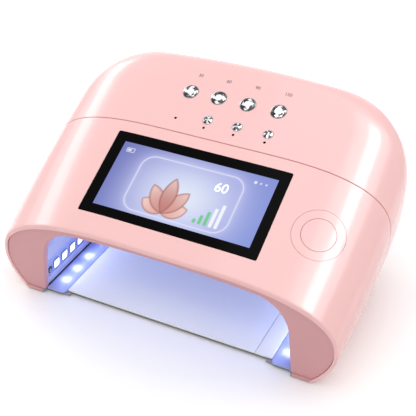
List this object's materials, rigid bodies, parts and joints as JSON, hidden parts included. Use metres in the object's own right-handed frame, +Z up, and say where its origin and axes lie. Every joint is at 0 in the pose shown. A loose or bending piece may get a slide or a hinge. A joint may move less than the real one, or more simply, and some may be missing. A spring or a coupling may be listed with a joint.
{
  "type": "uv nail lamp",
  "caption": "Glossy sloping UV nail lamp with an arched hand opening, light strips, sliding floor plate, touch display, crystal gem buttons and a round shoulder button.",
  "frame": {"origin": "middle of the footprint, at the table", "axes": "+X to the right as seen from the front, +Y to the rear, +Z up; the hand opening faces -Y"},
  "size_m": [0.237, 0.138, 0.1254],
  "materials": {
    "shell_pink": "high gloss",
    "fascia_rose": "satin",
    "liner_white": "gloss reflector",
    "plate_white": "high gloss",
    "cover_pink": "satin",
    "black_glass": "polished, printed black from behind",
    "panel_blue": "lit display",
    "frame_black": "moulded",
    "crystal": "faceted, silvered",
    "lens_black": "gloss",
    "led_chip": "lit",
    "led_board": "white solder mask",
    "circuit_board": "green solder mask",
    "component_black": "moulded",
    "switch_metal": "stamped",
    "rubber_grey": "matt",
    "screw_steel": "zinc plated",
    "magnet_nickel": "nickel plated",
    "cell_wrap": "heat-shrink wrap",
    "sensor_black": "dark window",
    "speaker_metal": "black",
    "jack_black": "moulded",
    "window_grey": "polished"
  },
  "bodies": {
    "lamp": {"front_shell": "shell_pink", "rear_shell": "shell_pink", "front_fascia": "fascia_rose", "base_cover": "cover_pink", "rubber_feet": "rubber_grey", "base_screws": "screw_steel", "right_floor_rail": "plate_white", "left_floor_rail": "plate_white", "plate_magnets": "magnet_nickel", "cavity_liner": "liner_white", "cavity_back_panel": "liner_white", "right_led_board": "led_board", "left_led_board": "led_board", "right_led_chips": "led_chip", "left_led_chips": "led_chip", "right_hand_sensor": "sensor_black", "left_hand_sensor": "sensor_black", "ceiling_led_board": "led_board", "ceiling_led_chips": "led_chip", "camera_module": "component_black", "camera_window": "window_grey", "display_glass": "black_glass", "display_panel": "panel_blue", "display_frame": "frame_black", "gem_switches": "switch_metal", "gem_switch_board": "circuit_board", "indicator_lenses": "lens_black", "round_button_ring": "shell_pink", "round_button_switch": "switch_metal", "round_button_board": "circuit_board", "main_board": "circuit_board", "main_board_parts": "component_black", "right_battery_cell": "cell_wrap", "left_battery_cell": "cell_wrap", "right_battery_cradle": "frame_black", "left_battery_cradle": "frame_black", "speaker": "speaker_metal", "dc_jack": "jack_black"},
    "tray": {"floor_plate": "plate_white", "floor_plate_strip": "plate_white"},
    "large_gem_1": {"large_gem_button_1": "crystal"},
    "large_gem_2": {"large_gem_button_2": "crystal"},
    "large_gem_3": {"large_gem_button_3": "crystal"},
    "large_gem_4": {"large_gem_button_4": "crystal"},
    "small_gem_1": {"small_gem_button_1": "crystal"},
    "small_gem_2": {"small_gem_button_2": "crystal"},
    "small_gem_3": {"small_gem_button_3": "crystal"},
    "round_cap": {"round_button_cap": "shell_pink"}
  },
  "joints": [
    {"name": "tray_slide", "type": "slide", "parent": "lamp", "child": "tray", "axis": [0, -1, 0], "range_m": [0, 0.115]},
    {"name": "large_gem_1_press", "type": "slide", "parent": "lamp", "child": "large_gem_1", "axis": [0, 0.4474, -0.8943], "range_m": [0, 0.0006], "stiffness_N_per_m": 400},
    {"name": "large_gem_2_press", "type": "slide", "parent": "lamp", "child": "large_gem_2", "axis": [0, 0.4474, -0.8943], "range_m": [0, 0.0006], "stiffness_N_per_m": 400},
    {"name": "large_gem_3_press", "type": "slide", "parent": "lamp", "child": "large_gem_3", "axis": [0, 0.4474, -0.8943], "range_m": [0, 0.0006], "stiffness_N_per_m": 400},
    {"name": "large_gem_4_press", "type": "slide", "parent": "lamp", "child": "large_gem_4", "axis": [0, 0.4474, -0.8943], "range_m": [0, 0.0006], "stiffness_N_per_m": 400},
    {"name": "small_gem_1_press", "type": "slide", "parent": "lamp", "child": "small_gem_1", "axis": [0, 0.4474, -0.8943], "range_m": [0, 0.0006], "stiffness_N_per_m": 400},
    {"name": "small_gem_2_press", "type": "slide", "parent": "lamp", "child": "small_gem_2", "axis": [0, 0.4474, -0.8943], "range_m": [0, 0.0006], "stiffness_N_per_m": 400},
    {"name": "small_gem_3_press", "type": "slide", "parent": "lamp", "child": "small_gem_3", "axis": [0, 0.4474, -0.8943], "range_m": [0, 0.0006], "stiffness_N_per_m": 400},
    {"name": "round_button_press", "type": "slide", "parent": "lamp", "child": "round_cap", "axis": [-0.2069, 0.4538, -0.8667], "range_m": [0, 0.001], "stiffness_N_per_m": 500}
  ]
}
